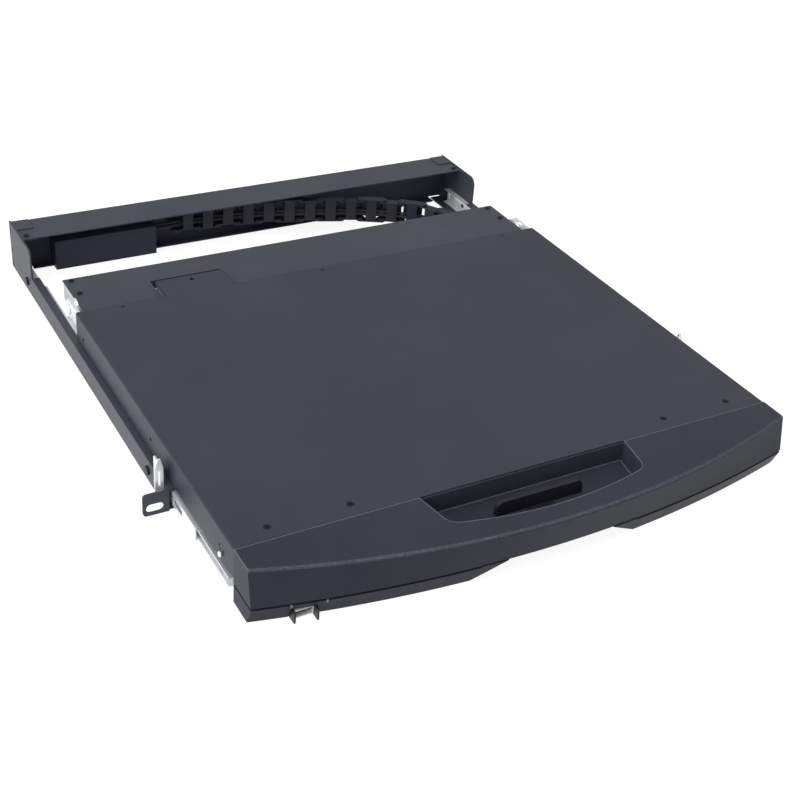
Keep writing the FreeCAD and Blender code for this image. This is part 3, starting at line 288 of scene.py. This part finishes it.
# ---- Small fittings on the lid's sides, near the bezel ----
def turned(bm, centre, side, profile, steps=24):
    """A turned shape pointing out of the lid's side; profile lists (distance out, radius)."""
    rings = []
    for out, radius in profile:
        ring = []
        for step in range(steps):
            angle = 2 * math.pi * step / steps
            ring.append(bm.verts.new((centre[0] + side * out, centre[1] + radius * math.cos(angle),
                                      centre[2] + radius * math.sin(angle))))
        rings.append(ring)
    for near, far in zip(rings, rings[1:]):
        for step in range(steps):
            after = (step + 1) % steps
            bm.faces.new((near[step], near[after], far[after], far[step]))
    bm.faces.new(rings[0])
    bm.faces.new(rings[-1])


def side_fitting(name, slot_name, side, back, up, profile, extra=()):
    """A fitting placed from the lid's front edge and lower edge, so that it follows the lid's size."""
    low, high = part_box("lid_shell")
    side_x = high[0] if side > 0 else low[0]
    mesh = bpy.data.meshes.new(name)
    bm = bmesh.new()
    turned(bm, (side_x, low[1] + back, low[2] + up), side, profile)
    for more_back, more_up in extra:
        turned(bm, (side_x, low[1] + back + more_back, low[2] + up + more_up), side, profile)
    bmesh.ops.recalc_face_normals(bm, faces=bm.faces)
    for face in bm.faces:
        face.smooth = len(face.verts) == 4
    bm.to_mesh(mesh)
    bm.free()
    mesh.materials.append(materials[slot_name])
    piece = bpy.data.objects.new(name, mesh)
    bpy.context.scene.collection.objects.link(piece)
    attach(piece, "lid")


# Outlines as (distance out of the side, radius), and places back and up from the lid's front and lower edges.
stop_pin = [(0.0, 0.0013), (0.0009, 0.0013), (0.0010, 0.0019), (0.0013, 0.0021), (0.0020, 0.0020),
            (0.0024, 0.0016), (0.0026, 0.0010)]
rivet_head = [(0.0, 0.0009), (0.0002, 0.0009), (0.00035, 0.0006)]
pin_back, pin_up = 0.0190, 0.0062
rivet_back, rivet_up = 0.0235, 0.0104
second_rivet = (-0.0015, -0.0024)
for end, side in (("left", -1), ("right", 1)):
    side_fitting("stop_pin_" + end, "zinc_steel", side, pin_back, pin_up, stop_pin)
    side_fitting("side_rivets_" + end, "screw_steel", side, rivet_back, rivet_up, rivet_head,
                 extra=(second_rivet,))


# ---- Studio ----
floor_z = cad_box[0][2] - 0.0005
floor_glow = 0.88               # with the light it reflects, this reaches white


def studio_floor():
    """Pale floor, white to the camera and in reflections, that still takes the object's shadow."""
    mesh = bpy.data.meshes.new("studio_floor")
    reach = 30.0
    corners = [(-reach, -reach, floor_z), (reach, -reach, floor_z),
               (reach, reach, floor_z), (-reach, reach, floor_z)]
    mesh.from_pydata(corners, [], [(0, 1, 2, 3)])
    floor = bpy.data.objects.new("studio_floor", mesh)
    bpy.context.scene.collection.objects.link(floor)
    material, nodes, links = new_material("studio_floor")
    shader = nodes["Principled BSDF"]
    shader.inputs["Roughness"].default_value = 0.9
    shader.inputs["Specular IOR Level"].default_value = 0.1
    shader.inputs["Emission Color"].default_value = (1.0, 1.0, 1.0, 1.0)
    path = nodes.new("ShaderNodeLightPath").outputs
    seen = combine(nodes, links, "MAXIMUM", path["Is Camera Ray"], path["Is Glossy Ray"])
    shown = combine(nodes, links, "MAXIMUM", seen, path["Is Transmission Ray"])
    links.new(combine(nodes, links, "MULTIPLY", shown, floor_glow), shader.inputs["Emission Strength"])
    drift = noise(nodes, links, surface_space(nodes, links, 2.0))
    links.new(tint(nodes, links, drift, (0.24, 0.24, 0.24), (0.26, 0.26, 0.26)), shader.inputs["Base Color"])
    mesh.materials.append(material)


def area_light(name, place, target, size, power):
    data = bpy.data.lights.new(name, "AREA")
    data.shape = "RECTANGLE"
    data.size = size[0]
    data.size_y = size[1]
    data.energy = power
    light = bpy.data.objects.new(name, data)
    bpy.context.scene.collection.objects.link(light)
    light.location = place
    aim = Vector(target) - Vector(place)
    light.rotation_euler = aim.to_track_quat("-Z", "Y").to_euler()


def studio_world():
    """White surroundings that fall to grey above the rear and at the front right of the object."""
    world = bpy.data.worlds.new("studio")
    world.use_nodes = True
    nodes = world.node_tree.nodes
    links = world.node_tree.links
    background = nodes["Background"]
    background.inputs["Color"].default_value = (0.97, 0.98, 1.0, 1.0)
    direction = nodes.new("ShaderNodeTexCoord").outputs["Generated"]
    behind = dot_with(nodes, links, direction, (0.225, 0.604, 0.766))
    fall = remap(nodes, links, behind, (0.72, 1.0), (0.85, 0.35), "SMOOTHSTEP")
    beside = dot_with(nodes, links, direction, (0.707, -0.707, 0.0))
    shade = remap(nodes, links, beside, (0.1, 0.8), (1.0, 0.35))
    links.new(combine(nodes, links, "MULTIPLY", fall, shade), background.inputs["Strength"])
    bpy.context.scene.world = world


def studio_lights():
    middle = (0.0, 0.1, 0.0)
    area_light("overhead", (-0.5, -0.2, 1.9), middle, (2.0, 1.8), 24)
    area_light("left_key", (-1.9, -0.3, 0.7), middle, (1.8, 1.0), 21)
    area_light("front_fill", (-0.7, -2.0, 0.8), middle, (1.6, 0.8), 7)


def photo_camera():
    """Camera in front, to the left and above, solved from the object's known width."""
    azimuth = math.radians(-31.39)
    elevation = math.radians(32.97)
    roll = math.radians(4.84)
    distance = 1.02209
    data = bpy.data.cameras.new("photo_camera")
    data.lens = 60.63
    data.sensor_width = 36.0
    back = Vector((math.sin(azimuth) * math.cos(elevation), -math.cos(azimuth) * math.cos(elevation),
                   math.sin(elevation)))
    level = Vector((0, 0, 1)).cross(back).normalized()
    upright = back.cross(level)
    right = math.cos(roll) * level + math.sin(roll) * upright
    up = -math.sin(roll) * level + math.cos(roll) * upright
    target = Vector((0.0, 0.016, 0.03735)) - 0.02943 * right - 0.0140 * up
    turn = Matrix((right, up, back)).transposed()
    camera = bpy.data.objects.new("photo_camera", data)
    camera.matrix_world = Matrix.Translation(target + distance * back) @ turn.to_4x4()
    bpy.context.scene.collection.objects.link(camera)
    bpy.context.scene.camera = camera


studio_floor()
studio_world()
studio_lights()
photo_camera()
bpy.context.scene.view_settings.view_transform = "Standard"
